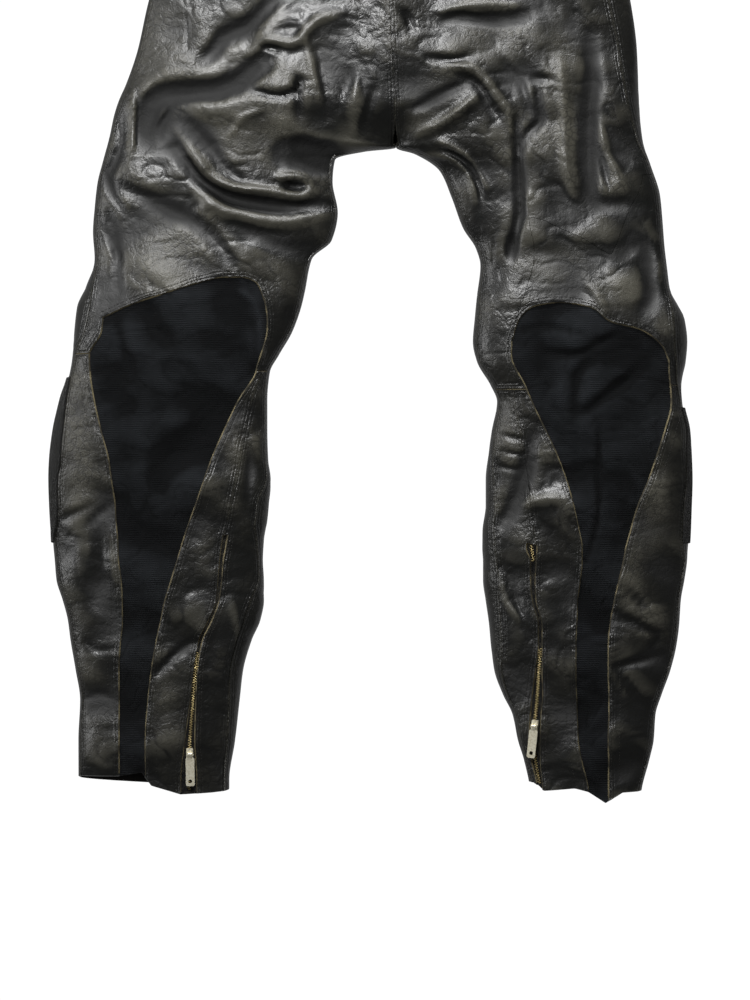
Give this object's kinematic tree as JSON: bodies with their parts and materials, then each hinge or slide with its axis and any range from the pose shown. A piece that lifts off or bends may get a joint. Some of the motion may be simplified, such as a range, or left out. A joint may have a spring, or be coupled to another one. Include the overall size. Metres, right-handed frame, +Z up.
{
  "type": "leather racing trousers",
  "caption": "Worn black leather racing trousers lying on their front, with rib-knit stretch panels behind the knees, padded knees and zipped calves.",
  "frame": {"origin": "middle of the garment's outline, on the surface it lies on", "axes": "+Z up out of the back of the garment, +Y from the hems to the waist, +X to the right seen from above"},
  "size_m": [0.7409, 1.0791, 0.0593],
  "materials": {
    "black_leather": "worn, semi-gloss",
    "rib_knit": "matt rib knit",
    "zip_tape": "woven tape with brass teeth",
    "hook_and_loop": "matt pile",
    "zip_metal": "pale, lightly worn"
  },
  "bodies": {
    "garment": {"lower_thigh_right": "black_leather", "seat_left": "black_leather", "calf_outer_left": "black_leather", "calf_behind_zip_left": "black_leather", "calf_inner_left": "black_leather", "thigh_front_left": "black_leather", "knee_cup_left": "black_leather", "shin_left": "black_leather", "waistband_left": "black_leather", "stretch_left": "rib_knit", "zip_tape_left": "zip_tape", "hook_patch_left": "hook_and_loop", "zip_slider_left": "zip_metal", "seat_right": "black_leather", "calf_outer_right": "black_leather", "calf_behind_zip_right": "black_leather", "calf_inner_right": "black_leather", "thigh_front_right": "black_leather", "knee_cup_right": "black_leather", "shin_right": "black_leather", "waistband_right": "black_leather", "stretch_right": "rib_knit", "zip_tape_right": "zip_tape", "hook_patch_right": "hook_and_loop", "zip_slider_right": "zip_metal", "fly_guard": "black_leather", "press_stud": "zip_metal"},
    "pull_left": {"zip_pull_left": "zip_metal"},
    "pull_right": {"zip_pull_right": "zip_metal"}
  },
  "joints": [
    {"name": "pull_hinge_left", "type": "hinge", "parent": "garment", "child": "pull_left", "pos_m": [-0.20647, -0.48351, 0.03969], "axis": [-0.9942, -0.0199, 0.1053], "range_deg": [0, 150]},
    {"name": "pull_hinge_right", "type": "hinge", "parent": "garment", "child": "pull_right", "pos_m": [0.18791, -0.45146, 0.03751], "axis": [-0.9562, 0.1243, -0.2651], "range_deg": [0, 150]}
  ]
}
